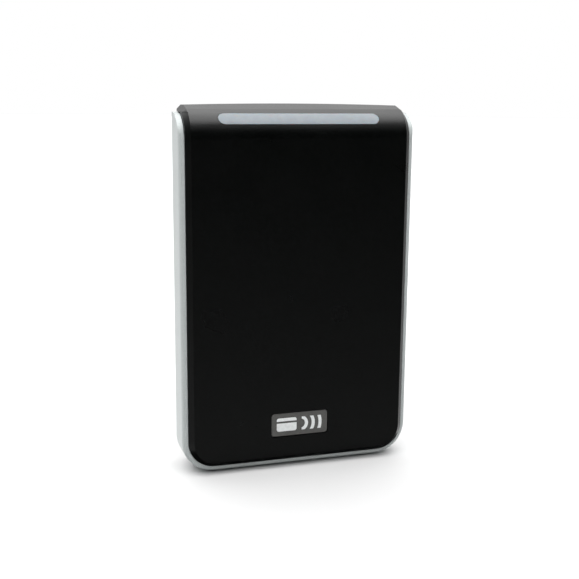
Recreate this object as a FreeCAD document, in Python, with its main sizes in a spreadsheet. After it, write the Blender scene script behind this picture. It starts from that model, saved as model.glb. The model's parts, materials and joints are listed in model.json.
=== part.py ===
import FreeCAD, Part
import math
import os
import re
import Sketcher

# Wall-mounted card reader with its mounting plate, in millimetres.
# Frame: the origin is the centre of the plate's wall face, +Z is up and the front faces -Y.
# "Depth" below is the distance in front of the wall, so a depth d is the plane y = -d.

doc = FreeCAD.newDocument("card_reader")
sheet = doc.addObject("Spreadsheet::Sheet", "sizes")

SIZES = [
    # name, value, what it is
    ("body_half_width", 40.0, "silver trim, half width"),
    ("body_half_height", 60.75, "whole reader, half height"),
    ("body_depth", 19.5, "wall to front face"),
    ("shell_rear", 6.85, "depth where the visible shell starts"),
    ("trim_front", 17.46, "depth of the trim's front edge"),
    ("trim_wall", 1.85, "thickness of the trim's sides"),
    ("trim_edge", 1.75, "rounding of the trim's front edge"),
    ("trim_corner", 10.8, "trim's lower corner radius"),
    ("trim_top", 58.0, "height of the trim's upper ends"),
    ("trim_shoulder", 10.0, "radius of the trim's cut upper ends"),
    ("shell_gap", 0.1, "clearance between nested shells"),
    ("cover_wall", 2.2, "front cover's wall"),
    ("cover_bevel", 1.6, "bevel round the front cover"),
    ("cap_lip", 0.35, "how far the cover reaches out over the trim's upper ends"),
    ("cap_bevel", 1.75, "bevel on the cap above the trim"),
    ("shoulder_radius", 10.0, "radius of the rounded upper edge"),
    ("shoulder_start", 49.7, "height where the upper edge starts to curve"),
    ("crease_offset", 3.5, "depth of the crease in front of the shoulder's centre"),
    ("crown_radius", 1400.0, "very slight arch of the top edge"),
    ("lens_angle", 40.7, "tilt of the light bar above straight ahead, degrees"),
    ("lens_half_length", 27.2, "light bar, half length"),
    ("lens_half_height", 2.16, "light bar, half height"),
    ("lens_inner", 6.0, "light bar's inner face, from the shoulder's centre"),
    ("lens_lip", 1.2, "flange round the light bar inside the cover"),
    ("led_pitch", 12.0, "distance between the light bar's lamps"),
    ("led_half_width", 1.6, "one lamp, half width"),
    ("badge_half_width", 9.9, "badge plate, half width"),
    ("badge_half_height", 3.95, "badge plate, half height"),
    ("badge_height", -46.0, "badge plate's centre height"),
    ("badge_corner", 1.0, "badge plate's corner radius"),
    ("badge_recess", 1.1, "depth of the badge's recess"),
    ("symbol_relief", 0.15, "height of the raised badge symbol"),
    ("card_left", -8.1, "badge symbol's card, left edge"),
    ("card_right", -1.1, "badge symbol's card, right edge"),
    ("symbol_half_height", 2.3, "badge symbol, half height"),
    ("wave_centre", 0.2, "centre of the badge symbol's waves"),
    ("wave_pitch", 2.45, "step between the badge symbol's waves"),
    ("wave_band", 1.1, "width of one wave"),
    ("housing_half_width", 37.0, "rear housing, half width"),
    ("housing_bottom", -58.0, "rear housing's lower edge"),
    ("housing_top", 59.0, "rear housing's upper edge"),
    ("housing_rear", 0.4, "depth of the rear housing's rim"),
    ("housing_back", 2.2, "depth of the rear housing's back face"),
    ("housing_wall", 2.0, "rear housing's back wall"),
    ("housing_rim", 1.2, "rear housing's side wall"),
    ("seal_depth", 0.45, "room for the seal between housing and cover"),
    ("spigot_front", 8.6, "depth where the housing's inner collar ends"),
    ("plate_thick", 2.0, "mounting plate's thickness"),
    ("plate_half_width", 35.3, "mounting plate, half width"),
    ("plate_bottom", -55.5, "mounting plate's lower edge"),
    ("plate_top", 52.5, "mounting plate's upper edge"),
    ("opening_half_width", 23.5, "cable opening, half width"),
    ("opening_bottom", -24.0, "cable opening's lower edge"),
    ("opening_top", 12.0, "cable opening's upper edge"),
    ("box_slot_spacing", 83.3, "tall wall box, distance between fixing slots"),
    ("round_slot_spacing", 60.3, "round wall box, distance between fixing slots"),
    ("slot_half_width", 2.1, "fixing slot, half width"),
    ("slot_length", 7.0, "fixing slot, end to end"),
    ("head_relief", 5.2, "room for a fixing screw's head, radius"),
    ("hinge_depth", 3.2, "hanging pins' axis, depth"),
    ("hinge_height", 53.5, "hanging pins' axis, height"),
    ("pin_radius", 1.0, "hanging pins"),
    ("hook_inner", 1.2, "hook's seat radius"),
    ("hook_outer", 2.5, "hook's outer radius"),
    ("hook_centre", 18.0, "hook's distance from the middle"),
    ("hook_half_width", 4.0, "hook, half width"),
    ("pocket_half_width", 5.5, "pocket for a hook, half width"),
    ("tab_bottom", -50.8, "locking tab's underside"),
    ("tab_thick", 1.6, "locking tab's thickness"),
    ("tab_reach", 14.6, "locking tab's front end"),
    ("tab_half_width", 5.0, "locking tab, half width"),
    ("screw_depth", 11.0, "retaining screw's axis, depth"),
    ("screw_radius", 1.5, "retaining screw's thread"),
    ("screw_head_radius", 2.6, "retaining screw's head"),
    ("screw_head_height", 1.9, "retaining screw's head, height"),
    ("screw_head_bottom", -60.4, "backed-off screw's lowest point"),
    ("screw_shank", 6.8, "retaining screw below the head"),
    ("washer_thick", 0.5, "captive washer"),
    ("washer_radius", 3.3, "captive washer"),
    ("screw_seat", -54.0, "height where the washer bears when tight"),
    ("screw_boss_top", -52.6, "top of the screw's boss"),
    ("sleeve_radius", 3.6, "sleeve that keeps the screw in"),
    ("sleeve_top", -58.6, "top of the sleeve"),
    ("board_rear", 11.0, "main board's rear face, depth"),
    ("board_front", 12.6, "main board's front face, depth"),
    ("board_half_width", 34.6, "main board, half width"),
    ("board_bottom", -45.0, "main board's lower edge"),
    ("board_top", 47.5, "main board's upper edge"),
    ("boss_x", 31.0, "housing screws, distance from the middle"),
    ("boss_high", 46.0, "upper housing screws"),
    ("boss_low", -50.5, "lower housing screws"),
    ("boss_radius", 3.0, "housing screw bosses"),
    ("boss_rear", 8.05, "cover bosses' rear face, depth"),
    ("case_screw_radius", 1.25, "housing screws"),
    ("case_head_radius", 2.2, "housing screw heads"),
    ("case_screw_tip", 15.0, "housing screws' front end, depth"),
    ("stand_high", 38.0, "upper board screws"),
    ("stand_low", -41.0, "lower board screws"),
    ("stand_radius", 2.2, "board standoffs"),
    ("board_screw_radius", 1.0, "board screws"),
    ("board_screw_tip", 16.0, "board screws' front end, depth"),
    ("window_x", -12.0, "tamper window and sensor, distance from the middle"),
    ("window_height", -33.0, "tamper window and sensor, height"),
    ("window_radius", 2.58, "tamper window"),
    ("antenna_rear", 15.2, "antenna board's rear face, depth"),
    ("antenna_front", 16.0, "antenna board's front face, depth"),
    ("antenna_half_width", 27.5, "antenna board, half width"),
    ("antenna_bottom", -36.0, "antenna board's lower edge"),
    ("antenna_top", 44.0, "antenna board's upper edge"),
    ("bay_half_width", 23.3, "terminal bay, half width"),
    ("bay_bottom", -22.0, "terminal bay's lower edge"),
    ("bay_top", 10.0, "terminal bay's upper edge"),
    ("pole_pitch", 3.5, "distance between wire clamps"),
    ("plug_rear", 2.8, "terminal plugs' rear face, depth"),
    ("plug_front", 10.6, "terminal plugs' front face, depth"),
    ("plug_bottom", -11.5, "terminal plugs' lower face"),
    ("header_bottom", -1.0, "terminal headers' mouth"),
    ("header_floor", 5.2, "bottom of the headers' mouth"),
    ("header_top", 9.0, "terminal headers' upper face"),
    ("pin_depth", 7.0, "header pins, depth"),
    ("buzzer_x", 17.0, "buzzer, distance from the middle"),
    ("buzzer_height", -34.0, "buzzer's height"),
]

for row, (alias, value, note) in enumerate(SIZES, start=1):
    sheet.set(f"A{row}", alias)
    sheet.set(f"B{row}", str(value))
    sheet.set(f"C{row}", note)
    sheet.setAlias(f"B{row}", alias)
doc.recompute()

ALIASES = {alias for alias, value, note in SIZES}
SIZE_NAME = re.compile(r"[a-z][a-z0-9_]*")


def linked(text):
    """The expression with every size name pointed at the spreadsheet."""
    def point(match):
        word = match.group(0)
        return "sizes." + word if word in ALIASES else word
    return SIZE_NAME.sub(point, str(text))


def turned(axis, angle):
    """Placement that only turns, by degrees about an axis."""
    return FreeCAD.Placement(FreeCAD.Vector(), FreeCAD.Rotation(FreeCAD.Vector(*axis), angle))


def block(name, x, d, z):
    """Box between two x, two depths and two heights, each given as an expression."""
    box = doc.addObject("Part::Box", name)
    box.setExpression("Length", linked(f"({x[1]}) - ({x[0]})"))
    box.setExpression("Width", linked(f"({d[1]}) - ({d[0]})"))
    box.setExpression("Height", linked(f"({z[1]}) - ({z[0]})"))
    box.setExpression("Placement.Base.x", linked(x[0]))
    box.setExpression("Placement.Base.y", linked(f"-({d[1]})"))
    box.setExpression("Placement.Base.z", linked(z[0]))
    return box


def rod_forward(name, x, z, radius, d):
    """Cylinder along the depth direction, between two depths."""
    rod = doc.addObject("Part::Cylinder", name)
    rod.Placement = turned((1, 0, 0), 90)
    rod.setExpression("Radius", linked(radius))
    rod.setExpression("Height", linked(f"({d[1]}) - ({d[0]})"))
    rod.setExpression("Placement.Base.x", linked(x))
    rod.setExpression("Placement.Base.y", linked(f"-({d[0]})"))
    rod.setExpression("Placement.Base.z", linked(z))
    return rod


def rod_up(name, x, d, radius, z):
    """Vertical cylinder between two heights."""
    rod = doc.addObject("Part::Cylinder", name)
    rod.setExpression("Radius", linked(radius))
    rod.setExpression("Height", linked(f"({z[1]}) - ({z[0]})"))
    rod.setExpression("Placement.Base.x", linked(x))
    rod.setExpression("Placement.Base.y", linked(f"-({d})"))
    rod.setExpression("Placement.Base.z", linked(z[0]))
    return rod


def rod_across(name, d, z, radius, x):
    """Cylinder along X, between two x."""
    rod = doc.addObject("Part::Cylinder", name)
    rod.Placement = turned((0, 1, 0), 90)
    rod.setExpression("Radius", linked(radius))
    rod.setExpression("Height", linked(f"({x[1]}) - ({x[0]})"))
    rod.setExpression("Placement.Base.x", linked(x[0]))
    rod.setExpression("Placement.Base.y", linked(f"-({d})"))
    rod.setExpression("Placement.Base.z", linked(z))
    return rod


def fuse(name, shapes):
    joined = doc.addObject("Part::MultiFuse", name)
    joined.Shapes = shapes
    return joined


def separate(name, shapes):
    """Several solids kept apart in one piece, such as a set of screws."""
    group = doc.addObject("Part::Compound", name)
    group.Links = shapes
    return group


def cut(name, base, tools):
    result = doc.addObject("Part::Cut", name)
    result.Base = base
    result.Tool = tools[0] if len(tools) == 1 else separate(name + "_tools", tools)
    return result


def common(name, first, second):
    result = doc.addObject("Part::Common", name)
    result.Base = first
    result.Tool = second
    return result


def edges_where(feature, test):
    """Names of the feature's edges whose middle point (x, depth, z) and direction pass the test."""
    doc.recompute()
    found = []
    for number, edge in enumerate(feature.Shape.Edges, start=1):
        middle = edge.valueAt((edge.FirstParameter + edge.LastParameter) / 2)
        along = edge.tangentAt((edge.FirstParameter + edge.LastParameter) / 2)
        if test(middle.x, -middle.y, middle.z, along):
            found.append(f"Edge{number}")
    return found


def dress(body, kind, name, base, prop, size, test):
    """Fillet or chamfer on the chosen edges of a body."""
    feature = body.newObject("PartDesign::" + kind, name)
    feature.Base = (base, edges_where(base, test))
    feature.setExpression(prop, linked(size))
    body.Tip = feature
    return feature


def plane_of(body, role):
    return [item for item in body.Origin.OriginFeatures if item.Role == role][0]


def new_sketch(body, name, role):
    sketch = body.newObject("Sketcher::SketchObject", name)
    sketch.AttachmentSupport = [(plane_of(body, role), "")]
    sketch.MapMode = "FlatFace"
    return sketch


def fix_point(sketch, geometry, vertex, u=None, v=None):
    """Tie a sketch point's coordinates to expressions."""
    for kind, text in (("DistanceX", u), ("DistanceY", v)):
        if text is not None:
            row = sketch.addConstraint(Sketcher.Constraint(kind, -1, 1, geometry, vertex, value(text)))
            sketch.setExpression(f"Constraints[{row}]", linked(text))


def value(text):
    """The present value of an expression in the size names."""
    return float(sheet.evalExpression(linked(text)))


def rectangle(sketch, u, v):
    """Closed rectangle between two horizontal and two vertical sketch coordinates."""
    corners = [(u[0], v[0]), (u[1], v[0]), (u[1], v[1]), (u[0], v[1])]
    points = [FreeCAD.Vector(value(a), value(b), 0) for a, b in corners]
    for index in range(4):
        sketch.addGeometry(Part.LineSegment(points[index], points[(index + 1) % 4]))
    for index in range(4):
        sketch.addConstraint(Sketcher.Constraint("Coincident", index, 2, (index + 1) % 4, 1))
    for index in (0, 2):
        sketch.addConstraint(Sketcher.Constraint("Horizontal", index))
        sketch.addConstraint(Sketcher.Constraint("Vertical", index + 1))
    fix_point(sketch, 0, 1, u[0], v[0])
    fix_point(sketch, 2, 1, u[1], v[1])


def stadium(sketch, half_length, half_height):
    """Slot outline centred on the sketch's origin."""
    reach = value(half_length) - value(half_height)
    radius = value(half_height)
    quarter = math.pi / 2
    top = Part.LineSegment(FreeCAD.Vector(reach, radius, 0), FreeCAD.Vector(-reach, radius, 0))
    left = Part.ArcOfCircle(Part.Circle(FreeCAD.Vector(-reach, 0, 0), FreeCAD.Vector(0, 0, 1), radius),
                            quarter, 3 * quarter)
    low = Part.LineSegment(FreeCAD.Vector(-reach, -radius, 0), FreeCAD.Vector(reach, -radius, 0))
    right = Part.ArcOfCircle(Part.Circle(FreeCAD.Vector(reach, 0, 0), FreeCAD.Vector(0, 0, 1), radius),
                             3 * quarter, 5 * quarter)
    for item in (top, left, low, right):
        sketch.addGeometry(item)
    for first, second in ((0, 1), (1, 2), (2, 3), (3, 0)):
        sketch.addConstraint(Sketcher.Constraint("Tangent", first, 2, second, 1))
    sketch.addConstraint(Sketcher.Constraint("Horizontal", 0))
    fix_point(sketch, 1, 3, f"-(({half_length}) - ({half_height}))", "0")
    fix_point(sketch, 3, 3, f"({half_length}) - ({half_height})", None)
    row = sketch.addConstraint(Sketcher.Constraint("Radius", 1, radius))
    sketch.setExpression(f"Constraints[{row}]", linked(half_height))


def rounded_block(name, x, d, z, low_radius=None, high_radius=None):
    """Block whose lower and upper corners, seen from the front, are rounded."""
    body = doc.addObject("PartDesign::Body", name)
    sketch = new_sketch(body, name + "_outline", "XZ_Plane")
    rectangle(sketch, x, z)
    sketch.setExpression("AttachmentOffset.Base.z", linked(d[0]))
    pad = body.newObject("PartDesign::Pad", name + "_pad")
    pad.Profile = sketch
    pad.setExpression("Length", linked(f"({d[1]}) - ({d[0]})"))
    body.Tip = pad
    last = pad
    for end, radius, height in (("low", low_radius, z[0]), ("high", high_radius, z[1])):
        if radius is not None:
            level = value(height)
            last = dress(body, "Fillet", f"{name}_{end}_round", last, "Radius", radius,
                         lambda mx, md, mz, along: abs(along.y) > 0.9 and abs(mz - level) < 0.01)
    return body


def tilted_bar(name, half_length, half_height, inner, outer):
    """Slot-shaped bar along the light bar's normal, between two distances from the shoulder's centre."""
    body = doc.addObject("PartDesign::Body", name)
    sketch = new_sketch(body, name + "_outline", "XZ_Plane")
    stadium(sketch, half_length, half_height)
    sketch.AttachmentOffset = turned((1, 0, 0), -value("lens_angle"))
    sketch.setExpression("AttachmentOffset.Rotation.Angle", linked("-lens_angle"))
    sketch.setExpression("AttachmentOffset.Base.y", linked(f"shoulder_start + ({inner}) * sin(lens_angle)"))
    sketch.setExpression("AttachmentOffset.Base.z", linked(
        f"body_depth - shoulder_radius + ({inner}) * cos(lens_angle)"))
    pad = body.newObject("PartDesign::Pad", name + "_pad")
    pad.Profile = sketch
    pad.setExpression("Length", linked(f"({outer}) - ({inner})"))
    body.Tip = pad
    return body


def shoulder_form(name, half_width, bottom, front, rear, radius, rear_top):
    """Solid with the cover's side profile: flat front, rounded upper edge and sloping top."""
    body = doc.addObject("PartDesign::Body", name)
    sketch = new_sketch(body, name + "_profile", "YZ_Plane")
    centre = value("-(body_depth - shoulder_radius)")
    level = value("shoulder_start")
    reach = value(radius)
    crease_u = value(f"-(body_depth - shoulder_radius + crease_offset * ({radius}) / shoulder_radius)")
    crease_v = level + (reach ** 2 - (crease_u - centre) ** 2) ** 0.5
    start = FreeCAD.Vector(value(f"-({rear})"), value(bottom), 0)
    foot = FreeCAD.Vector(value(f"-({front})"), value(bottom), 0)
    bend = FreeCAD.Vector(value(f"-({front})"), level, 0)
    crease = FreeCAD.Vector(crease_u, crease_v, 0)
    peak = FreeCAD.Vector(value(f"-({rear})"), value(rear_top), 0)
    shoulder = Part.Circle(FreeCAD.Vector(centre, level, 0), FreeCAD.Vector(0, 0, 1), reach)
    crease_angle = math.atan2(crease_v - level, crease_u - centre)
    sketch.addGeometry(Part.LineSegment(start, foot))
    sketch.addGeometry(Part.LineSegment(foot, bend))
    sketch.addGeometry(Part.ArcOfCircle(shoulder, crease_angle, math.pi))
    sketch.addGeometry(Part.LineSegment(crease, peak))
    sketch.addGeometry(Part.LineSegment(peak, start))
    # The arc runs anticlockwise, so its start is the crease and its end the bend.
    for first, first_end, second, second_end in ((0, 2, 1, 1), (1, 2, 2, 2), (2, 1, 3, 1),
                                                 (3, 2, 4, 1), (4, 2, 0, 1)):
        sketch.addConstraint(Sketcher.Constraint("Coincident", first, first_end, second, second_end))
    sketch.addConstraint(Sketcher.Constraint("Horizontal", 0))
    sketch.addConstraint(Sketcher.Constraint("Vertical", 1))
    fix_point(sketch, 0, 1, f"-({rear})", bottom)
    fix_point(sketch, 0, 2, f"-({front})")
    fix_point(sketch, 2, 3, None, "shoulder_start")
    row = sketch.addConstraint(Sketcher.Constraint("Radius", 2, reach))
    sketch.setExpression(f"Constraints[{row}]", linked(radius))
    fix_point(sketch, 1, 2, None, "shoulder_start")
    fix_point(sketch, 2, 1, f"-(body_depth - shoulder_radius + crease_offset * ({radius}) / shoulder_radius)")
    fix_point(sketch, 3, 2, f"-({rear})", rear_top)
    pad = body.newObject("PartDesign::Pad", name + "_pad")
    pad.Profile = sketch
    pad.SideType = "Symmetric"
    pad.setExpression("Length", linked(f"2 * ({half_width})"))
    body.Tip = pad
    return body, pad


NODES = []


def node(name, shape):
    """Name a finished piece; the name is also its file's."""
    shape.Label = name
    NODES.append(shape)
    return shape


# ---------------------------------------------------------------- silver side trim
trim_outline = rounded_block("trim_outline", ("-body_half_width", "body_half_width"),
                             ("shell_rear", "trim_front"),
                             ("-body_half_height", "body_half_height"), "trim_corner")
front_of_trim = value("trim_front")
top_of_trim = value("body_half_height")
dress(trim_outline, "Fillet", "trim_front_round", trim_outline.Tip, "Radius", "trim_edge",
      lambda mx, md, mz, along: abs(md - front_of_trim) < 0.01 and abs(mz - top_of_trim) > 0.01)

trim_profile = doc.addObject("PartDesign::Body", "trim_profile")
trim_side = new_sketch(trim_profile, "trim_side", "YZ_Plane")
rectangle(trim_side, ("-(trim_front)", "-(shell_rear) + 1"), ("-body_half_height - 1", "trim_top"))
trim_side_pad = trim_profile.newObject("PartDesign::Pad", "trim_side_pad")
trim_side_pad.Profile = trim_side
trim_side_pad.SideType = "Symmetric"
trim_side_pad.setExpression("Length", linked("2 * body_half_width + 2"))
trim_profile.Tip = trim_side_pad
level_of_ends = value("trim_top")
dress(trim_profile, "Fillet", "trim_end_round", trim_side_pad, "Radius", "trim_shoulder",
      lambda mx, md, mz, along: (abs(along.x) > 0.9 and abs(md - front_of_trim) < 0.01
                                 and abs(mz - level_of_ends) < 0.01))

trim_inside = rounded_block("trim_inside", ("-body_half_width + trim_wall", "body_half_width - trim_wall"),
                            ("shell_rear - 1", "trim_front + 1"),
                            ("-body_half_height + trim_wall", "body_half_height + 1"),
                            "trim_corner - trim_wall")
trim_hole = rod_up("trim_hole", "0", "screw_depth", "sleeve_radius + 0.02",
                   ("-body_half_height - 1", "-body_half_height + trim_wall + 1"))
side_trim = node("side_trim", cut("side_trim", common("trim_solid", trim_outline, trim_profile),
                                  [trim_inside, trim_hole]))

# ---------------------------------------------------------------- front cover
cover_half = "(body_half_width - trim_wall - shell_gap)"
cover_bottom = "(-body_half_height + trim_wall + shell_gap)"
cover_corner = "(trim_corner - trim_wall - shell_gap)"
cover_form, cover_pad = shoulder_form("cover_form", cover_half, cover_bottom, "body_depth", "shell_rear",
                                      "shoulder_radius", "body_half_height")
foot_of_cover = value(cover_bottom)
cover_round = dress(cover_form, "Fillet", "cover_corner_round", cover_pad, "Radius", cover_corner,
                    lambda mx, md, mz, along: abs(along.y) > 0.99 and abs(mz - foot_of_cover) < 0.01)
rear_of_cover = value("shell_rear")
front_of_cover = value("body_depth")
curve_of_cover = value("shoulder_start")


def bevel_rim(body, base, half_width, size):
    """Bevel between a cover form's side walls and its visible skin."""
    side = value(half_width)

    def on_rim(mx, md, mz, along):
        if abs(md - rear_of_cover) < 0.01:
            return False
        if mz > curve_of_cover:
            return abs(abs(mx) - side) < 0.01 and abs(along.x) < 0.5
        return abs(md - front_of_cover) < 0.01 and (abs(along.x) < 0.99 or abs(mz - foot_of_cover) < 0.01)

    dress(body, "Chamfer", body.Name + "_bevel", base, "Size", size, on_rim)


bevel_rim(cover_form, cover_round, cover_half, "cover_bevel")
cap_half = f"({cover_half} + cap_lip)"
cap_form, cap_pad = shoulder_form("cap_form", cap_half, "0", "body_depth", "shell_rear",
                                  "shoulder_radius", "body_half_height")
bevel_rim(cap_form, cap_pad, cap_half, "cap_bevel")
cap = common("cap", cap_form, block("cap_zone", ("-body_half_width", "body_half_width"),
                                    ("shell_rear", "body_depth"),
                                    ("trim_top + shell_gap", "body_half_height + 1")))

crown = rod_forward("crown", "0", "body_half_height - crown_radius", "crown_radius",
                    ("shell_rear - 1", "body_depth + 1"))
cover_solid = common("cover_solid", fuse("cover_and_cap", [cover_form, cap]), crown)

cavity_half = f"({cover_half} - cover_wall)"
cavity_bottom = f"({cover_bottom} + cover_wall)"
cover_cavity, cavity_pad = shoulder_form("cover_cavity", cavity_half, cavity_bottom,
                                         "body_depth - cover_wall", "shell_rear - 1",
                                         "shoulder_radius - cover_wall", "body_half_height - cover_wall")
foot_of_cavity = value(cavity_bottom)
dress(cover_cavity, "Fillet", "cavity_corner_round", cavity_pad, "Radius", f"{cover_corner} - cover_wall",
      lambda mx, md, mz, along: abs(along.y) > 0.99 and abs(mz - foot_of_cavity) < 0.01)
cover_shell = cut("cover_shell", cover_solid, [cover_cavity])

inner_front = "(body_depth - cover_wall)"
cover_parts = [cover_shell]
cover_holes = []
for side in (-1, 1):
    for level in ("boss_high", "boss_low"):
        tag = f"{'left' if side < 0 else 'right'}_{level}"
        cover_parts.append(rod_forward("cover_" + tag, f"{side} * boss_x", level, "boss_radius",
                                       ("boss_rear", f"{inner_front} + 0.5")))
        cover_holes.append(rod_forward("cover_pilot_" + tag, f"{side} * boss_x", level,
                                       "case_screw_radius + 0.02", ("boss_rear - 1", "case_screw_tip + 0.5")))
    for level in ("stand_high", "stand_low"):
        tag = f"{'left' if side < 0 else 'right'}_{level}"
        cover_parts.append(rod_forward("cover_" + tag, f"{side} * boss_x", level, "stand_radius",
                                       ("board_front + 0.05", f"{inner_front} + 0.5")))
        cover_holes.append(rod_forward("cover_pilot_" + tag, f"{side} * boss_x", level,
                                       "board_screw_radius + 0.02",
                                       ("board_front - 1", "board_screw_tip + 0.4")))
cover_parts.append(block("screw_boss", ("-6", "6"), ("shell_rear + 0.1", "screw_depth + 4.2"),
                         (f"{cover_bottom} + 0.5", "screw_boss_top")))
cover_holes.append(rod_up("screw_mouth", "0", "screw_depth", "sleeve_radius + 0.02",
                          (f"{cover_bottom} - 1", "sleeve_top")))
cover_holes.append(rod_up("screw_recess", "0", "screw_depth", "washer_radius + 0.15",
                          ("sleeve_top - 0.1", "screw_seat")))
cover_holes.append(rod_up("screw_way", "0", "screw_depth", "screw_radius + 0.15",
                          ("screw_seat - 0.1", "screw_boss_top + 1")))
cover_holes.append(rounded_block("badge_pocket", ("-badge_half_width - 0.2", "badge_half_width + 0.2"),
                                 ("body_depth - badge_recess", "body_depth + 1"),
                                 ("badge_height - badge_half_height - 0.35",
                                  "badge_height + badge_half_height + 0.2"),
                                 "badge_corner + 0.2", "badge_corner + 0.2"))
cover_holes.append(tilted_bar("lens_opening", "lens_half_length + 0.1", "lens_half_height + 0.1",
                              "lens_inner - 3", "shoulder_radius + 3"))
front_cover = node("front_cover", cut("front_cover", fuse("cover_with_bosses", cover_parts), cover_holes))

# ---------------------------------------------------------------- light bar
lens_plug = common("lens_plug", tilted_bar("lens_bar", "lens_half_length", "lens_half_height",
                                           "lens_inner", "shoulder_radius + 3"), cover_solid)
lens_flange = tilted_bar("lens_flange", "lens_half_length + lens_lip", "lens_half_height + lens_lip",
                         "lens_inner - 0.1", "lens_inner + 0.75")
light_bar_lens = node("light_bar_lens", fuse("light_bar_lens", [lens_plug, lens_flange]))
light_guide = node("light_guide", tilted_bar("light_guide", "lens_half_length - 0.6",
                                             "lens_half_height - 0.4", "4.3", "lens_inner - 0.15"))


def tilted_box(name, x, tangent, radial):
    """Box standing on the light bar's tilt: x range, range along the skin, range along the normal."""
    box = doc.addObject("Part::Box", name)
    box.Placement = turned((1, 0, 0), 90 - value("lens_angle"))
    box.setExpression("Placement.Rotation.Angle", linked("90 - lens_angle"))
    box.setExpression("Length", linked(f"({x[1]}) - ({x[0]})"))
    box.setExpression("Width", linked(f"({tangent[1]}) - ({tangent[0]})"))
    box.setExpression("Height", linked(f"({radial[1]}) - ({radial[0]})"))
    box.setExpression("Placement.Base.x", linked(x[0]))
    box.setExpression("Placement.Base.y", linked(
        f"-(body_depth - shoulder_radius) - ({radial[0]}) * cos(lens_angle)"
        f" + ({tangent[0]}) * sin(lens_angle)"))
    box.setExpression("Placement.Base.z", linked(
        f"shoulder_start + ({radial[0]}) * sin(lens_angle) + ({tangent[0]}) * cos(lens_angle)"))
    return box


led_board = node("led_board", tilted_box("led_board", ("-27", "27"), ("-3", "3"), ("2.2", "3.2")))
leds = node("leds", separate("leds", [
    tilted_box(f"led_{count}",
               (f"{step} * led_pitch - led_half_width", f"{step} * led_pitch + led_half_width"),
               ("-1.4", "1.4"), ("3.2", "4.2"))
    for count, step in enumerate((-2, -1, 0, 1, 2))]))

# ---------------------------------------------------------------- badge
badge_front = "(body_depth - symbol_relief)"
badge_plate = node("badge_plate", rounded_block(
    "badge_plate", ("-badge_half_width", "badge_half_width"),
    ("body_depth - badge_recess + 0.05", badge_front),
    ("badge_height - badge_half_height", "badge_height + badge_half_height"), "badge_corner", "badge_corner"))
symbol_range = (badge_front, f"{badge_front} + symbol_relief")
symbol_height = ("badge_height - symbol_half_height", "badge_height + symbol_half_height")
card = cut("symbol_card", rounded_block("symbol_card_body", ("card_left", "card_right"), symbol_range,
                                        symbol_height, "0.7", "0.7"),
           [block("symbol_stripe", ("card_left - 1", "card_right + 1"),
                  (f"{badge_front} - 1", f"{badge_front} + 1"),
                  ("badge_height + 0.5", "badge_height + 1.2"))])
waves = []
for count in (1, 2, 3):
    ring = cut(f"symbol_ring_{count}",
               rod_forward(f"symbol_ring_out_{count}", "wave_centre", "badge_height",
                           f"{count} * wave_pitch + wave_band / 2 - 0.2", symbol_range),
               [rod_forward(f"symbol_ring_in_{count}", "wave_centre", "badge_height",
                            f"{count} * wave_pitch - wave_band / 2 - 0.2",
                            (f"{badge_front} - 1", f"{badge_front} + 1"))])
    window = block(f"symbol_window_{count}", (f"wave_centre + 0.55 * {count}", "badge_half_width"),
                   symbol_range, symbol_height)
    waves.append(common(f"symbol_wave_{count}", ring, window))
badge_symbol = node("badge_symbol", separate("badge_symbol", [card] + waves))

# ---------------------------------------------------------------- rear housing
ledge = "(shell_rear - seal_depth)"
housing_block = rounded_block("housing_block", ("-housing_half_width", "housing_half_width"),
                              ("housing_rear", ledge), ("housing_bottom", "housing_top"), "8", "3")
spigot_gap = "(cover_wall + shell_gap)"
spigot = rounded_block("spigot", (f"-{cover_half} + {spigot_gap}", f"{cover_half} - {spigot_gap}"),
                       (f"{ledge} - 0.5", "spigot_front"), (f"{cover_bottom} + {spigot_gap}", "57.2"),
                       f"{cover_corner} - {spigot_gap}", "1")
housing_inside = rounded_block("housing_inside",
                               (f"-{cover_half} + {spigot_gap} + 1.4", f"{cover_half} - {spigot_gap} - 1.4"),
                               ("housing_back + housing_wall", "spigot_front + 1"),
                               (f"{cover_bottom} + {spigot_gap} + 1.4", "55.8"), "5", "1")
plate_recess = rounded_block("plate_recess", ("-housing_half_width + housing_rim",
                                              "housing_half_width - housing_rim"),
                             ("housing_rear - 1", "housing_back"),
                             ("housing_bottom + housing_rim + 0.5", "housing_top + 1"), "6")
rim_relief = block("rim_relief", ("-body_half_width", "body_half_width"),
                   ("housing_rear - 1", "housing_back"), ("44", "housing_top + 1"))
housing_base = cut("housing_base", fuse("housing_solid", [housing_block, spigot]),
                   [housing_inside, plate_recess, rim_relief])
inside_back = "(housing_back + housing_wall)"
through_back = ("housing_back - 1", f"{inside_back} + 1")
housing_parts = [housing_base]
housing_holes = [
    block("terminal_bay", ("-bay_half_width", "bay_half_width"), through_back, ("bay_bottom", "bay_top")),
    block("tab_slot", ("-tab_half_width - 0.6", "tab_half_width + 0.6"), through_back,
          ("tab_bottom - 1.3", "tab_bottom + tab_thick + 2.2")),
    block("spigot_notch", ("-6.6", "6.6"), (ledge, "spigot_front + 1"), (f"{cover_bottom} - 1", "-52")),
    rod_forward("window_hole", "window_x", "window_height", "window_radius + 0.02", through_back),
]
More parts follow.
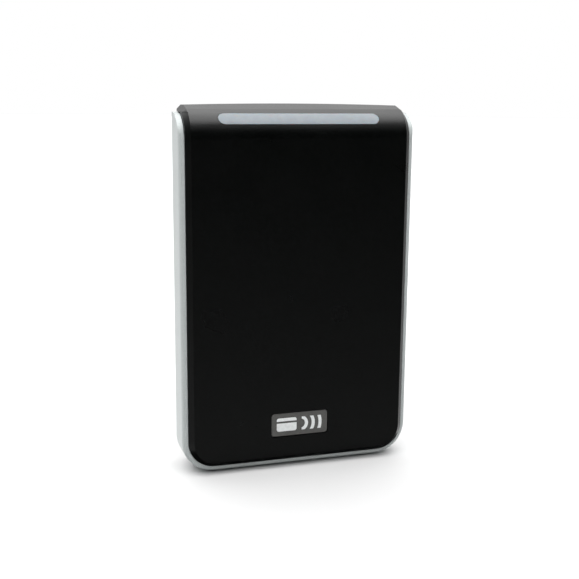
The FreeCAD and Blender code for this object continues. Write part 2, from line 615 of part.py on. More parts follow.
for side in (-1, 1):
    word = "left" if side < 0 else "right"
    for level in ("boss_high", "boss_low"):
        tag = f"{word}_{level}"
        boss_at = f"{side} * boss_x"
        housing_parts.append(rod_forward("case_" + tag, boss_at, level, "boss_radius + 0.6",
                                         (f"{inside_back} - 0.5", "boss_rear - 0.05")))
        housing_holes.append(rod_forward("case_way_" + tag, boss_at, level, "case_screw_radius + 0.2",
                                         ("housing_back - 1", "boss_rear + 1")))
        housing_holes.append(rod_forward("case_sink_" + tag, boss_at, level, "case_head_radius + 0.4",
                                         ("housing_back - 1", "housing_back + 2.4")))
    centre = f"{side} * hook_centre"
    housing_parts.append(block(f"pocket_block_{word}", (f"{centre} - pocket_half_width - 1.8",
                                                        f"{centre} + pocket_half_width + 1.8"),
                               (f"{inside_back} - 0.5", "hinge_depth + 4.6"),
                               ("hinge_height - 4.7", "hinge_height + 3.7")))
    housing_holes.append(block(f"pocket_{word}", (f"{centre} - pocket_half_width",
                                                  f"{centre} + pocket_half_width"),
                               ("housing_rear - 1", "hinge_depth + 3.4"),
                               ("hinge_height - 3.5", "hinge_height + 2.8")))
    housing_holes.append(rod_across(f"pin_way_{word}", "hinge_depth", "hinge_height", "pin_radius + 0.02",
                                    (f"{centre} - pocket_half_width - 1.6",
                                     f"{centre} + pocket_half_width + 1.6")))
reliefs = [("high", "0", "box_slot_spacing / 2"), ("low", "0", "-box_slot_spacing / 2"),
           ("left", "-round_slot_spacing / 2", "0"), ("right", "round_slot_spacing / 2", "0")]
for word, x, z in reliefs:
    housing_parts.append(rod_forward("relief_boss_" + word, x, z, "head_relief + 1.2",
                                     (f"{inside_back} - 0.5", ledge)))
    housing_holes.append(rod_forward("relief_" + word, x, z, "head_relief",
                                     ("housing_back - 1", "housing_back + 3.4")))
housing_trimmed = common("housing_trimmed", fuse("housing_full", housing_parts),
                         block("housing_limit", ("-housing_half_width", "housing_half_width"),
                               ("0", "20"), ("housing_bottom", "housing_top")))
rear_housing = node("rear_housing", cut("rear_housing", housing_trimmed, housing_holes))

hang_pins = node("hang_pins", separate("hang_pins", [
    rod_across(f"hang_pin_{word}", "hinge_depth", "hinge_height", "pin_radius",
               (f"{side} * hook_centre - pocket_half_width - 1.5",
                f"{side} * hook_centre + pocket_half_width + 1.5"))
    for word, side in (("left", -1), ("right", 1))]))

seal_out = rounded_block("seal_out", ("-housing_half_width + 0.1", "housing_half_width - 0.1"),
                         (f"{ledge} + 0.02", "shell_rear - 0.02"),
                         ("housing_bottom + 0.1", "housing_top - 0.1"), "7.9", "3")
seal_in = rounded_block("seal_in", (f"-{cover_half} + cover_wall", f"{cover_half} - cover_wall"),
                        ("housing_back", "shell_rear + 1"), (f"{cover_bottom} + cover_wall", "57.3"),
                        f"{cover_corner} - cover_wall", "1")
perimeter_seal = node("perimeter_seal", cut("perimeter_seal", seal_out, [seal_in]))


def pan_screw(name, x, z, radius, head_radius, head, tip):
    """Pan-head screw driven forward, with a cross slot in its head."""
    shank = rod_forward(name + "_shank", x, z, radius, (f"({head}) - 0.2", tip))
    cap = rod_forward(name + "_cap", x, z, head_radius, (f"({head}) - 1.4", head))
    slot_depth = (f"({head}) - 1.6", f"({head}) - 0.8")
    slots = [block(name + "_slot_across", (f"({x}) - 1.2", f"({x}) + 1.2"), slot_depth,
                   (f"({z}) - 0.3", f"({z}) + 0.3")),
             block(name + "_slot_up", (f"({x}) - 0.3", f"({x}) + 0.3"), slot_depth,
                   (f"({z}) - 1.2", f"({z}) + 1.2"))]
    return cut(name, fuse(name + "_body", [shank, cap]), slots)


housing_screws = node("housing_screws", separate("housing_screws", [
    pan_screw(f"case_screw_{word}_{level}", f"{side} * boss_x", level, "case_screw_radius",
              "case_head_radius", "housing_back + 2.35", "case_screw_tip")
    for word, side in (("left", -1), ("right", 1)) for level in ("boss_high", "boss_low")]))
tamper_window = node("tamper_window", rod_forward("tamper_window", "window_x", "window_height",
                                                  "window_radius", ("housing_back + 0.1", inside_back)))

# ---------------------------------------------------------------- mounting plate
plate_sheet = rounded_block("plate_sheet", ("-plate_half_width", "plate_half_width"), ("0", "plate_thick"),
                            ("plate_bottom", "plate_top"), "5", "3")
plate_parts = [plate_sheet]
through_plate = ("-1", "plate_thick + 1")
plate_holes = [rounded_block("cable_opening", ("-opening_half_width", "opening_half_width"), through_plate,
                             ("opening_bottom", "opening_top"), "3", "3")]
for side in (-1, 1):
    word = "left" if side < 0 else "right"
    hook_x = (f"{side} * hook_centre - hook_half_width", f"{side} * hook_centre + hook_half_width")
    crook = cut("crook_" + word,
                rod_across("crook_out_" + word, "hinge_depth", "hinge_height", "hook_outer", hook_x),
                [rod_across("crook_in_" + word, "hinge_depth", "hinge_height", "hook_inner", hook_x),
                 block("crook_top_" + word, hook_x, ("-1", "8"), ("hinge_height", "hinge_height + 4"))])
    plate_parts.append(crook)
    plate_parts.append(block("hook_leg_" + word, hook_x, ("0", "plate_thick"),
                             ("plate_top - 1", "hinge_height + 0.8")))
    plate_parts.append(block("hook_lip_" + word, hook_x,
                             ("hinge_depth + hook_inner", "hinge_depth + hook_outer"),
                             ("hinge_height - 0.1", "hinge_height + 0.8")))
    plate_holes.append(rounded_block(f"slot_tall_{'low' if side < 0 else 'high'}",
                                     ("-slot_half_width", "slot_half_width"), through_plate,
                                     (f"{side} * box_slot_spacing / 2 - slot_length / 2",
                                      f"{side} * box_slot_spacing / 2 + slot_length / 2"),
                                     "slot_half_width - 0.001", "slot_half_width - 0.001"))
    plate_holes.append(block(f"slot_wide_{word}", (
        f"{side} * round_slot_spacing / 2 - slot_length / 2 + slot_half_width",
        f"{side} * round_slot_spacing / 2 + slot_length / 2 - slot_half_width"),
        through_plate, ("-slot_half_width", "slot_half_width")))
    for end in (-1, 1):
        plate_holes.append(rod_forward(
            f"slot_end_{word}_{'in' if end * side < 0 else 'out'}",
            f"{side} * round_slot_spacing / 2 + {end} * (slot_length / 2 - slot_half_width)", "0",
            "slot_half_width", through_plate))
plate_parts.append(block("locking_tab", ("-tab_half_width", "tab_half_width"),
                         ("plate_thick - 0.5", "tab_reach"), ("tab_bottom", "tab_bottom + tab_thick")))
plate_holes.append(rod_up("insert_way", "0", "screw_depth", "2.12", ("tab_bottom - 1", "tab_bottom + 3")))
mounting_plate = node("mounting_plate", cut("mounting_plate", fuse("plate_solid", plate_parts), plate_holes))

insert_outer = fuse("insert_outer", [
    rod_up("insert_barrel", "0", "screw_depth", "2.1", ("tab_bottom", "tab_bottom + 3")),
    rod_up("insert_flange", "0", "screw_depth", "2.9", ("tab_bottom + tab_thick + 0.02", "tab_bottom + 3"))])
plate_threaded_insert = node("plate_threaded_insert", cut("plate_threaded_insert", insert_outer, [
    rod_up("insert_bore", "0", "screw_depth", "screw_radius + 0.03", ("tab_bottom - 1", "tab_bottom + 4"))]))

# ---------------------------------------------------------------- retaining screw, backed off
head_top = "(screw_head_bottom + screw_head_height)"
screw_head = rod_up("screw_head", "0", "screw_depth", "screw_head_radius", ("screw_head_bottom", head_top))
screw_neck = rod_up("screw_neck", "0", "screw_depth", "screw_radius - 0.3",
                    (f"{head_top} - 0.1", f"{head_top} + washer_thick + 0.1"))
screw_thread = rod_up("screw_thread", "0", "screw_depth", "screw_radius",
                      (f"{head_top} + washer_thick + 0.05", f"{head_top} + screw_shank"))
drive_range = ("screw_head_bottom - 1", "screw_head_bottom + 1.2")
drive_holes = [rod_up("drive_post_hole", "0", "screw_depth", "0.9", drive_range)]
for number in range(5):
    lobe = rod_up(f"drive_lobe_{number}", "0", "screw_depth", "0.5", drive_range)
    lobe.setExpression("Placement.Base.x", linked(f"1.05 * cos(72 * {number})"))
    lobe.setExpression("Placement.Base.y", linked(f"-screw_depth + 1.05 * sin(72 * {number})"))
    drive_holes.append(lobe)
retaining_screw = node("retaining_screw", cut("retaining_screw", fuse(
    "retaining_screw_body", [screw_head, screw_neck, screw_thread]), drive_holes))
retaining_screw_washer = node("retaining_screw_washer", cut("retaining_screw_washer", rod_up(
    "washer_disc", "0", "screw_depth", "washer_radius", (head_top, f"{head_top} + washer_thick")),
    [rod_up("washer_bore", "0", "screw_depth", "screw_radius - 0.25",
            (f"{head_top} - 1", f"{head_top} + 2"))]))
screw_sleeve = node("screw_sleeve", cut("screw_sleeve", rod_up(
    "sleeve_body", "0", "screw_depth", "sleeve_radius", ("-body_half_height + 0.1", "sleeve_top - 0.02")),
    [rod_up("sleeve_bore", "0", "screw_depth", "screw_head_radius + 0.2",
            ("-body_half_height - 1", "sleeve_top + 1"))]))

# ---------------------------------------------------------------- main board
board_blank = rounded_block("board_blank", ("-board_half_width", "board_half_width"),
                            ("board_rear", "board_front"), ("board_bottom", "board_top"), "4", "1")
through_board = ("board_rear - 1", "board_front + 1")
notch_near = "(boss_x - boss_radius - 0.7)"
notch_far = "(board_half_width + 1)"
board_holes = []
for side in (-1, 1):
    word = "left" if side < 0 else "right"
    notch = (notch_near, notch_far) if side > 0 else (f"-{notch_far}", f"-{notch_near}")
    board_holes.append(block("board_corner_" + word, notch, through_board,
                             ("boss_high - boss_radius - 0.7", "board_top + 1")))
    for level in ("stand_high", "stand_low"):
        board_holes.append(rod_forward(f"board_way_{word}_{level}", f"{side} * boss_x", level,
                                       "board_screw_radius + 0.15", through_board))
board_screws = node("board_screws", separate("board_screws", [
    pan_screw(f"board_screw_{word}_{level}", f"{side} * boss_x", level, "board_screw_radius", "1.9",
              "board_rear", "board_screw_tip")
    for word, side in (("left", -1), ("right", 1)) for level in ("stand_high", "stand_low")]))


def terminal(poles, first_x):
    """Header soldered to the board, its pins, and the wire plug that pulls out downwards."""
    name = f"{poles}"
    x0 = f"({first_x})"
    x1 = f"({first_x} + {poles} * pole_pitch + 1)"
    poles_x = [f"({first_x} + 0.5 + ({index} + 0.5) * pole_pitch)" for index in range(poles)]
    pins = []
    for index, px in enumerate(poles_x):
        pin_x = (f"{px} - 0.4", f"{px} + 0.4")
        down = block(f"pin_down_{name}_{index}", pin_x, ("pin_depth - 0.4", "pin_depth + 0.4"),
                     ("header_bottom - 1", "header_floor + 2.2"))
        through = block(f"pin_through_{name}_{index}", pin_x, ("pin_depth - 0.4", "board_front + 0.8"),
                        ("header_floor + 1.4", "header_floor + 2.2"))
        pins.append(fuse(f"pin_{name}_{index}", [down, through]))
    pin_set = separate(f"terminal_header_{name}_pins", pins)
    header_mouth = block(f"header_mouth_{name}", (f"{x0} + 0.8", f"{x1} - 0.8"),
                         ("plug_rear + 1.2", "plug_front - 0.6"), ("header_bottom - 1", "header_floor"))
    header_block = block(f"header_block_{name}", (x0, x1), ("plug_rear + 0.4", "board_rear"),
                         ("header_bottom", "header_top"))
    header = cut(f"terminal_header_{name}", header_block, [header_mouth, pin_set])
    nose = block(f"plug_nose_{name}", (f"{x0} + 0.95", f"{x1} - 0.95"),
                 ("plug_rear + 1.35", "plug_front - 0.75"), ("header_bottom - 1", "header_floor - 0.2"))
    base = block(f"plug_base_{name}", (x0, x1), ("plug_rear", "plug_front"),
                 ("plug_bottom", "header_bottom - 0.1"))
    holes = []
    screws = []
    clamps = []
    for index, px in enumerate(poles_x):
        holes.append(block(f"pin_socket_{name}_{index}", (f"{px} - 0.6", f"{px} + 0.6"),
                           ("pin_depth - 0.6", "pin_depth + 0.6"),
                           ("header_bottom - 2.4", "header_floor + 1")))
        entry_d = ("plug_rear + 3.6", "plug_front - 1")
        holes.append(block(f"wire_entry_{name}_{index}", (f"{px} - 1.25", f"{px} + 1.25"), entry_d,
                           ("plug_bottom - 1", "header_bottom - 2.5")))
        holes.append(rod_forward(f"screw_hole_{name}_{index}", px, "plug_bottom + 5", "1.2",
                                 ("plug_rear - 1", "plug_rear + 4")))
        screw_post = rod_forward(f"clamp_screw_post_{name}_{index}", px, "plug_bottom + 5", "1.1",
                                 ("plug_rear + 0.6", "plug_rear + 4.1"))
        screw_slot = block(f"clamp_screw_slot_{name}_{index}", (f"{px} - 2", f"{px} + 2"),
                           ("plug_rear", "plug_rear + 1.2"), ("plug_bottom + 4.75", "plug_bottom + 5.25"))
        screws.append(cut(f"clamp_screw_{name}_{index}", screw_post, [screw_slot]))
        cage = block(f"cage_out_{name}_{index}", (f"{px} - 1.2", f"{px} + 1.2"),
                     ("plug_rear + 4.15", "plug_front - 1.05"), ("plug_bottom + 3", "plug_bottom + 7"))
        cage_way = block(f"cage_in_{name}_{index}", (f"{px} - 0.9", f"{px} + 0.9"),
                         ("plug_rear + 4.45", "plug_front - 1.35"), ("plug_bottom + 2", "plug_bottom + 8"))
        clamps.append(cut(f"cage_{name}_{index}", cage, [cage_way]))
    plug = cut(f"terminal_plug_{name}_body", fuse(f"plug_solid_{name}", [nose, base]), holes)
    node(f"terminal_header_{name}", header)
    node(f"terminal_header_{name}_pins", pin_set)
    node(f"terminal_plug_{name}_body", plug)
    node(f"terminal_plug_{name}_screws", separate(f"terminal_plug_{name}_screws", screws))
    node(f"terminal_plug_{name}_clamps", separate(f"terminal_plug_{name}_clamps", clamps))
    return pin_set


pins_5 = terminal(5, "-22.6")
pins_7 = terminal(7, "-2.9")
main_board = node("main_board", cut("main_board", board_blank, board_holes + [pins_5, pins_7]))

# ---------------------------------------------------------------- antenna stack
antenna_board = node("antenna_board", rounded_block(
    "antenna_board", ("-antenna_half_width", "antenna_half_width"), ("antenna_rear", "antenna_front"),
    ("antenna_bottom", "antenna_top"), "2", "2"))
ferrite_sheet = node("ferrite_sheet", block(
    "ferrite_sheet", ("-antenna_half_width + 1", "antenna_half_width - 1"),
    ("antenna_rear - 0.3", "antenna_rear"), ("antenna_bottom + 1", "antenna_top - 1")))
turns = []
for count in range(4):
    inset = f"(1 + 1.4 * {count})"
    outer = rounded_block(f"turn_out_{count}",
                          (f"-antenna_half_width + {inset}", f"antenna_half_width - {inset}"),
                          ("antenna_front", "antenna_front + 0.1"),
                          (f"antenna_bottom + {inset}", f"antenna_top - {inset}"), "2", "2")
    inner = rounded_block(f"turn_in_{count}", (f"-antenna_half_width + {inset} + 0.7",
                                               f"antenna_half_width - {inset} - 0.7"),
                          ("antenna_front - 1", "antenna_front + 1"),
                          (f"antenna_bottom + {inset} + 0.7", f"antenna_top - {inset} - 0.7"), "1.5", "1.5")
    turns.append(cut(f"turn_{count}", outer, [inner]))
hf_antenna_coil = node("hf_antenna_coil", separate("hf_antenna_coil", turns))
lf_antenna_coil = node("lf_antenna_coil", cut("lf_antenna_coil", rounded_block(
    "lf_out", ("-19", "19"), ("antenna_front + 0.05", "antenna_front + 1.05"), ("-22", "30"), "5", "5"),
    [rounded_block("lf_in", ("-15", "15"), ("antenna_front - 1", "antenna_front + 2"), ("-18", "26"),
                   "3", "3")]))
antenna_spacers = node("antenna_spacers", separate("antenna_spacers", [
    block(f"spacer_{word}_{level}", (f"{side} * 22 - 3", f"{side} * 22 + 3"),
          ("board_front", "antenna_rear - 0.3"), (f"{level} - 3", f"{level} + 3"))
    for word, side in (("left", -1), ("right", 1)) for level in (-31, 39)]))

# ---------------------------------------------------------------- parts on the board
FRONT = "board_front"
REAR = "board_rear"


def chip(name, x, z, width, height, tall, face):
    """Flat part standing on the board's front or rear face."""
    depth = (FRONT, f"{FRONT} + {tall}") if face == FRONT else (f"{REAR} - {tall}", REAR)
    return block(name, (f"{x} - {width} / 2", f"{x} + {width} / 2"), depth,
                 (f"{z} - {height} / 2", f"{z} + {height} / 2"))


node("controller_chip", chip("controller_chip", -8, 20, 10, 10, 1.2, FRONT))
node("radio_chip", chip("radio_chip", 11, 19, 6, 6, 0.9, FRONT))
node("secure_element", chip("secure_element", -9, -12, 4, 5, 0.8, FRONT))
node("crystal", chip("crystal", 3, 19, 3.2, 2.5, 0.8, FRONT))
node("power_regulator", chip("power_regulator", 16, 26, 6.5, 6.5, 1.8, REAR))
node("power_inductor", chip("power_inductor", 7, 26, 7, 7, 4, REAR))
node("capacitors", separate("capacitors", [
    rod_forward(f"capacitor_{index}", f"{-4 - 8 * index}", "26", "3", ("board_rear - 5.4", "board_rear"))
    for index in range(2)]))
node("ble_antenna", chip("ble_antenna", 31, 24, 3, 9, 1.2, FRONT))
node("buzzer", cut("buzzer", rod_forward("buzzer_can", "buzzer_x", "buzzer_height", "4.5",
                                         ("board_rear - 4.5", "board_rear")),
                   [rod_forward("buzzer_port", "buzzer_x", "buzzer_height", "0.8",
                                ("board_rear - 5", "board_rear - 3"))]))
node("tamper_sensor", chip("tamper_sensor", "window_x", "window_height", 4, 3.2, 2.2, REAR))
node("board_connector", chip("board_connector", 0, 39, 12, 4, 1.9, FRONT))

doc.recompute()

os.makedirs("parts", exist_ok=True)
for item in doc.Objects:
    if "Invalid" in item.State or "Error" in item.State:
        raise RuntimeError(f"{item.Name} did not build: {item.State}")
for piece in NODES:
    shape = piece.Shape
    if shape.isNull() or not shape.isValid() or not shape.Solids:
        raise RuntimeError(f"{piece.Label} is not a valid solid")
    shape.exportStep(f"parts/{piece.Label}.step")
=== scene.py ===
import json
import math

import bpy
from mathutils import Matrix, Vector


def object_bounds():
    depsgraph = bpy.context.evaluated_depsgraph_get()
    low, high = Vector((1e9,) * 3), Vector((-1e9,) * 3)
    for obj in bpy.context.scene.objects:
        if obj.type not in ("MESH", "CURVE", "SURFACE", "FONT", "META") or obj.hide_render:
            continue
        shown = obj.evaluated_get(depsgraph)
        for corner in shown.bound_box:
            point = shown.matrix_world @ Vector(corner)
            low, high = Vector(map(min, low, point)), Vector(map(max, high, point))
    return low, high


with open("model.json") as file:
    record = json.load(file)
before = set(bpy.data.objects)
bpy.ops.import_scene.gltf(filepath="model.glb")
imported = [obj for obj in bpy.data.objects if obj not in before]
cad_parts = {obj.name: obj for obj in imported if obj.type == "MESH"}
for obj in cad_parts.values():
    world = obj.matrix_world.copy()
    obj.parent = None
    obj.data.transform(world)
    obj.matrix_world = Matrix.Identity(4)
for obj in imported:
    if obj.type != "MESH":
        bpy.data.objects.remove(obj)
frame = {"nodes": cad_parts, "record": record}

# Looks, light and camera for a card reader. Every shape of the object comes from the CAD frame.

MM = 0.001
BLACK = (0.0, 0.0, 0.0, 1.0)
WHITE = (1.0, 1.0, 1.0, 1.0)

# ---------------------------------------------------------------- places, read from the CAD frame
CAD_BOX = [list(corner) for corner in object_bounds()]
FLOOR_GAP = 0.9 * MM
FLOOR_Z = CAD_BOX[0][2] - FLOOR_GAP


# ---------------------------------------------------------------- material kit
def add_node(tree, kind, **inputs):
    """A new node whose inputs are given by name, each as a value or as another node's output."""
    node = tree.nodes.new(kind)
    for name, value in inputs.items():
        socket = node.inputs[name.replace("_", " ")]
        if isinstance(value, bpy.types.NodeSocket):
            tree.links.new(value, socket)
        else:
            socket.default_value = value
    return node


# Nearly all of a noise texture's values lie between these two.
NOISE_LOW, NOISE_HIGH = 0.3, 0.7


class Shader:
    """A Principled material whose detail comes from noise in the piece's own coordinates."""

    def __init__(self, name, **sockets):
        self.material = bpy.data.materials.new(name)
        self.material.use_nodes = True
        self.tree = self.material.node_tree
        self.bsdf = self.tree.nodes["Principled BSDF"]
        for socket, value in sockets.items():
            self.bsdf.inputs[socket.replace("_", " ")].default_value = value
        self.coordinates = self.add("ShaderNodeTexCoord").outputs["Object"]

    def add(self, kind, **inputs):
        return add_node(self.tree, kind, **inputs)

    def drive(self, socket, output):
        """Lets a node's output set one of the material's own values."""
        self.tree.links.new(output, self.bsdf.inputs[socket])

    def noise(self, scale, detail=2.0, roughness=0.5, stretch=None):
        """Noise in object space; scale is features per metre, stretch squeezes it along an axis."""
        where = self.coordinates
        if stretch:
            where = self.add("ShaderNodeMapping", Vector=where, Scale=stretch).outputs["Vector"]
        return self.add("ShaderNodeTexNoise", Vector=where, Scale=scale, Detail=detail,
                        Roughness=roughness).outputs["Fac"]

    def colour(self, value, dark, light, start=NOISE_LOW, end=NOISE_HIGH):
        """Base colour that runs from dark to light as the value goes from start to end."""
        ramp = self.add("ShaderNodeValToRGB", Fac=value)
        first, last = ramp.color_ramp.elements
        first.position, first.color = start, (*dark, 1.0)
        last.position, last.color = end, (*light, 1.0)
        self.drive("Base Color", ramp.outputs["Color"])

    def roughness(self, value, low, high):
        """Roughness that runs from low to high with the noise."""
        share = self.add("ShaderNodeMapRange", Value=value, From_Min=NOISE_LOW, From_Max=NOISE_HIGH,
                         To_Min=low, To_Max=high)
        self.drive("Roughness", share.outputs["Result"])

    def bump(self, value, height, strength=1.0):
        """Surface relief, with its height in metres, over any relief that is there already."""
        relief = self.add("ShaderNodeBump", Height=value, Distance=height, Strength=strength)
        for link in self.bsdf.inputs["Normal"].links:
            self.tree.links.new(link.from_socket, relief.inputs["Normal"])
        self.drive("Normal", relief.outputs["Normal"])


MATERIALS = {}
TINT_SCALE = 0.6    # the tint's features against the grain's
CLOUD_SCALE = 60    # features per metre of the faint change in roughness


def moulded(name, dark, light, rough, specular=0.5, grain=2600, relief=0.03 * MM, **sockets):
    """Moulded plastic with a fine eroded texture and faint cloudy variation."""
    look = Shader(name, Specular_IOR_Level=specular, **sockets)
    look.colour(look.noise(grain * TINT_SCALE), dark, light)
    look.roughness(look.noise(CLOUD_SCALE, detail=3.0), *rough)
    look.bump(look.noise(grain, detail=3.0, roughness=0.6), relief)
    MATERIALS[name] = look.material


SCRATCH_SCALE = 900
SCRATCH_DEPTH = 0.006 * MM
POLISH_SCALE = 300


def metal(name, dark, light, rough, stretch=None):
    """Plated or machined metal with fine scratches."""
    look = Shader(name, Metallic=1.0)
    scratches = look.noise(SCRATCH_SCALE, detail=4.0, roughness=0.65, stretch=stretch)
    look.colour(scratches, dark, light)
    look.roughness(look.noise(POLISH_SCALE, detail=3.0), *rough)
    look.bump(scratches, SCRATCH_DEPTH)
    MATERIALS[name] = look.material


FLAKE_SCALE = 9000
HAZE_SCALE = 2500
PEEL_SCALE, PEEL_DEPTH = 700, 0.012 * MM
TOOTH_SCALE, TOOTH_DEPTH = 5000, 0.01 * MM
PAINT_RELIEF = 0.6


def painted(name, dark, light, rough, **sockets):
    """Satin metallic paint: flake under a soft clear film, with very faint orange peel."""
    look = Shader(name, **sockets)
    flake = look.add("ShaderNodeTexVoronoi", Vector=look.coordinates, Scale=FLAKE_SCALE)
    look.colour(flake.outputs["Color"], dark, light, start=0.1, end=0.9)
    look.roughness(look.noise(HAZE_SCALE), *rough)
    look.bump(look.noise(PEEL_SCALE), PEEL_DEPTH, PAINT_RELIEF)
    look.bump(look.noise(TOOTH_SCALE), TOOTH_DEPTH, PAINT_RELIEF)
    MATERIALS[name] = look.material


def grey(level):
    return (level, level, level)


# ---------------------------------------------------------------- materials: dark, light, roughness range
# The outside, from the front.
moulded("black_plastic", (0.0, 0.0001, 0.0001), (0.0022, 0.0030, 0.0028), (0.27, 0.33),
        grain=2800, relief=0.04 * MM)
painted("silver_paint", (0.46, 0.50, 0.50), (0.585, 0.615, 0.61), (0.38, 0.5),
        Metallic=0.22, Specular_IOR_Level=0.5, Coat_Weight=0.15, Coat_Roughness=0.3)
moulded("light_lens", (0.285, 0.320, 0.352), (0.315, 0.350, 0.382), (0.34, 0.42), specular=0.4,
        grain=900, relief=0.01 * MM, Subsurface_Weight=0.25, Subsurface_Scale=2 * MM)
moulded("badge_grey", (0.092, 0.091, 0.087), (0.112, 0.111, 0.106), (0.4, 0.5), specular=0.3,
        grain=1800, relief=0.02 * MM)
moulded("badge_white", (0.74, 0.76, 0.76), (0.82, 0.84, 0.84), (0.4, 0.5), specular=0.3,
        grain=1800, relief=0.01 * MM)

# The back and the plate.
moulded("housing_black", grey(0.006), grey(0.012), (0.45, 0.6), specular=0.35, grain=1500,
        relief=0.05 * MM)
moulded("plate_plastic", grey(0.009), grey(0.017), (0.5, 0.65), specular=0.35, grain=1200,
        relief=0.05 * MM)
moulded("seal_rubber", grey(0.012), grey(0.02), (0.7, 0.85), specular=0.3, grain=900)
moulded("smoked_window", (0.012, 0.002, 0.002), (0.02, 0.004, 0.004), (0.08, 0.15),
        relief=0.005 * MM)
moulded("terminal_green", (0.01, 0.13, 0.045), (0.02, 0.2, 0.07), (0.35, 0.5), grain=1400)

# The boards and what they carry.
moulded("board_green", (0.006, 0.05, 0.02), (0.012, 0.085, 0.035), (0.28, 0.4), grain=500,
        relief=0.02 * MM)
moulded("light_guide", (0.7, 0.73, 0.75), (0.8, 0.82, 0.83), (0.2, 0.3), relief=0.01 * MM)
moulded("led_white", (0.62, 0.6, 0.5), (0.75, 0.73, 0.62), (0.3, 0.45))
moulded("chip_black", grey(0.008), grey(0.018), (0.4, 0.55), specular=0.4, grain=3000)
moulded("ferrite", grey(0.025), grey(0.05), (0.6, 0.75), specular=0.3, grain=1500)
moulded("foam", grey(0.45), grey(0.65), (0.85, 0.95), specular=0.2, grain=1200, relief=0.1 * MM)

# Metals. Turned pieces have their scratches squeezed along Z.
TURNED = (1, 1, 6)
metal("steel", grey(0.42), grey(0.62), (0.22, 0.38), TURNED)
metal("brass", (0.5, 0.34, 0.12), (0.72, 0.54, 0.25), (0.2, 0.35), TURNED)
metal("copper", (0.55, 0.22, 0.1), (0.78, 0.38, 0.2), (0.25, 0.4))
metal("can_metal", grey(0.5), grey(0.68), (0.25, 0.4))

# Each CAD node takes the material of the slot that the record gives it.
SLOT_OF = {row["node"]: row["material_slot"] for row in frame["record"]["subparts"]}
for name, piece in frame["nodes"].items():
    piece.data.materials.clear()
    piece.data.materials.append(MATERIALS[SLOT_OF[name]])

# ---------------------------------------------------------------- floor and wall
STAGE_TINT_SCALE = 3    # features per metre
FLOOR_SIZE = 60.0
bpy.ops.mesh.primitive_plane_add(size=FLOOR_SIZE, location=(0, 0, FLOOR_Z))
floor = bpy.context.object
floor.name = "studio_floor"
floor_look = Shader("studio_floor", Specular_IOR_Level=0.2, Roughness=0.7)
floor_look.colour(floor_look.noise(STAGE_TINT_SCALE), grey(0.86), grey(0.88))
floor.data.materials.append(floor_look.material)
floor.visible_glossy = False

# Painted shade: a dark sheet under the object, seen only in the other faces' reflections, stands in for
# the shaded floor there. It reaches a little past the sides and the front, and ends at the wall side.
SHADE_MARGIN = 8 * MM
SHADE_LIFT = 0.1 * MM
shade_low = Vector((CAD_BOX[0][0] - SHADE_MARGIN, CAD_BOX[0][1] - SHADE_MARGIN))
shade_high = Vector((CAD_BOX[1][0] + SHADE_MARGIN, CAD_BOX[1][1]))
bpy.ops.mesh.primitive_plane_add(size=1.0,
                                 location=(*(shade_low + shade_high) / 2, FLOOR_Z + SHADE_LIFT))
shade = bpy.context.object
shade.name = "floor_shade"
shade.scale = (*(shade_high - shade_low), 1)
shade_look = Shader("floor_shade", Specular_IOR_Level=0.0)
# Near-black colour: painted shade for the floor under the object.
shade_look.colour(shade_look.noise(STAGE_TINT_SCALE), grey(0.02), grey(0.03))
shade.data.materials.append(shade_look.material)
shade.visible_camera = shade.visible_diffuse = shade.visible_shadow = False

# The plain white wall behind the object in every view; it neither lights nor reflects.
WALL_RADIUS, WALL_HEIGHT, WALL_SIDES = 5.0, 8.0, 128
bpy.ops.mesh.primitive_cylinder_add(vertices=WALL_SIDES, radius=WALL_RADIUS, depth=WALL_HEIGHT,
                                    end_fill_type="NOTHING",
                                    location=(0, 0, FLOOR_Z + WALL_HEIGHT / 2))
wall = bpy.context.object
wall.name = "studio_wall"
wall_look = Shader("studio_wall", Specular_IOR_Level=0.0, Base_Color=BLACK, Emission_Color=WHITE,
                   Emission_Strength=1.0)
wall_look.material.cycles.emission_sampling = "NONE"
wall.data.materials.append(wall_look.material)
wall.visible_diffuse = wall.visible_glossy = wall.visible_transmission = wall.visible_shadow = False

# ---------------------------------------------------------------- light from the world
world = bpy.data.worlds.new("studio_world")
world.use_nodes = True
bpy.context.scene.world = world
sky = world.node_tree
direction = add_node(sky, "ShaderNodeTexCoord").outputs["Generated"]


def sky_ramp(axis, stops):
    """Level that depends on how far a direction points along an axis, as (cosine, level) stops."""
    along = add_node(sky, "ShaderNodeVectorMath")
    along.operation = "DOT_PRODUCT"
    sky.links.new(direction, along.inputs[0])
    along.inputs[1].default_value = Vector(axis).normalized()
    share = add_node(sky, "ShaderNodeMapRange", Value=along.outputs["Value"],
                     From_Min=-1.0, From_Max=1.0)
    fade = add_node(sky, "ShaderNodeValToRGB", Fac=share.outputs["Result"])
    fade.color_ramp.interpolation = "EASE"
    band = fade.color_ramp.elements
    while len(band) < len(stops):
        band.new(0.5)
    for element, (cosine, level) in zip(band, stops):
        element.position = (cosine + 1) / 2
        element.color = (*grey(level), 1.0)
    return fade.outputs["Color"]


def sky_math(operation, first, second):
    node = add_node(sky, "ShaderNodeMath")
    node.operation = operation
    sky.links.new(first, node.inputs[0])
    sky.links.new(second, node.inputs[1])
    return node.outputs["Value"]


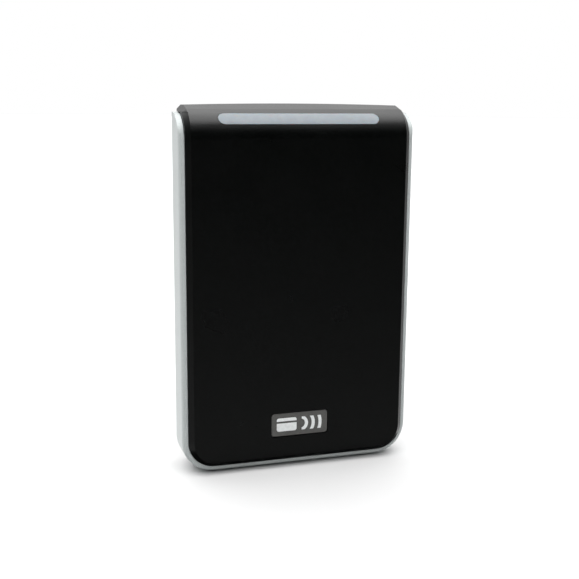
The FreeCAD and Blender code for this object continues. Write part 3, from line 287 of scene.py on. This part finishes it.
# The room in front is dark and the sweep behind is white. A broad diffuser hangs overhead. Only
# reflections reach below the horizon, where a table is pale near the object and unlit right under it.
TO_WALL, OVERHEAD = (0, 1, 0), (0, 0, 1)
backdrop = sky_ramp(TO_WALL, [(-1.0, 0.0), (-0.25, 0.0), (0.3, 0.25), (0.85, 1.05)])
table = sky_ramp(TO_WALL, [(-1.0, 0.30), (-0.3, 0.16), (0.3, 0.95), (0.9, 0.5)])
below_horizon = sky_ramp(OVERHEAD, [(-0.5, 1.0), (-0.04, 0.0)])
away_from_foot = sky_ramp(OVERHEAD, [(-0.92, 0.09), (-0.5, 1.0)])
diffuser = sky_ramp((0, 0.10, 1), [(0.40, 0.0), (0.68, 0.34), (0.86, 1.85)])
brightness = sky_math("MULTIPLY", table, below_horizon)
brightness = sky_math("ADD", brightness, backdrop)
brightness = sky_math("MULTIPLY", brightness, away_from_foot)
brightness = sky_math("ADD", brightness, diffuser)
sky.links.new(brightness, sky.nodes["Background"].inputs["Color"])
sky.nodes["Background"].inputs["Strength"].default_value = 1.0


# ---------------------------------------------------------------- lamps
def soft_sun(name, energy, spread, shining):
    """Distant lamp of a given apparent size in degrees, shining along a direction."""
    lamp = bpy.data.lights.new(name, "SUN")
    lamp.energy = energy
    lamp.angle = math.radians(spread)
    holder = bpy.data.objects.new(name, lamp)
    holder.rotation_mode = "QUATERNION"
    holder.rotation_quaternion = Vector(shining).to_track_quat("-Z", "Y")
    bpy.context.scene.collection.objects.link(holder)
    return holder


# The overhead lamp only shows in reflections; the fill only lights matt surfaces.
overhead_lamp = soft_sun("overhead_lamp", energy=1.2, spread=60, shining=(-0.03, 0.02, -1))
overhead_lamp.visible_diffuse = False
front_fill = soft_sun("front_fill", energy=1.5, spread=60, shining=(0.12, 0.5, -0.85))
front_fill.visible_glossy = False

# ---------------------------------------------------------------- camera
CAMERA_PLACE = (-0.10013, -0.32192, 0.06416)
AZIMUTH, ELEVATION, ROLL = math.radians(-17.66), math.radians(11.35), 0.0083
FOCAL_LENGTH, SENSOR_WIDTH = 61.03, 36.0    # millimetres, as Blender takes them
CENTRE_SHIFT = 0.5 / 579                    # share of the picture's width
NEAREST, FARTHEST = 0.01, 50

back = Vector((math.sin(AZIMUTH) * math.cos(ELEVATION), -math.cos(AZIMUTH) * math.cos(ELEVATION),
               math.sin(ELEVATION)))
level_right = (-back).cross(Vector(OVERHEAD)).normalized()
level_up = back.cross(level_right)
right = level_right * math.cos(ROLL) + level_up * math.sin(ROLL)
up = level_up * math.cos(ROLL) - level_right * math.sin(ROLL)

camera = bpy.data.objects.new("camera", bpy.data.cameras.new("camera"))
camera.data.sensor_width = SENSOR_WIDTH
camera.data.lens = FOCAL_LENGTH
camera.data.shift_x, camera.data.shift_y = -CENTRE_SHIFT, CENTRE_SHIFT
camera.data.clip_start, camera.data.clip_end = NEAREST, FARTHEST
camera.rotation_mode = "QUATERNION"
camera.rotation_quaternion = Matrix((right, up, back)).transposed().to_quaternion()
camera.location = CAMERA_PLACE
bpy.context.scene.collection.objects.link(camera)
bpy.context.scene.camera = camera

bpy.context.scene.view_settings.view_transform = "Standard"
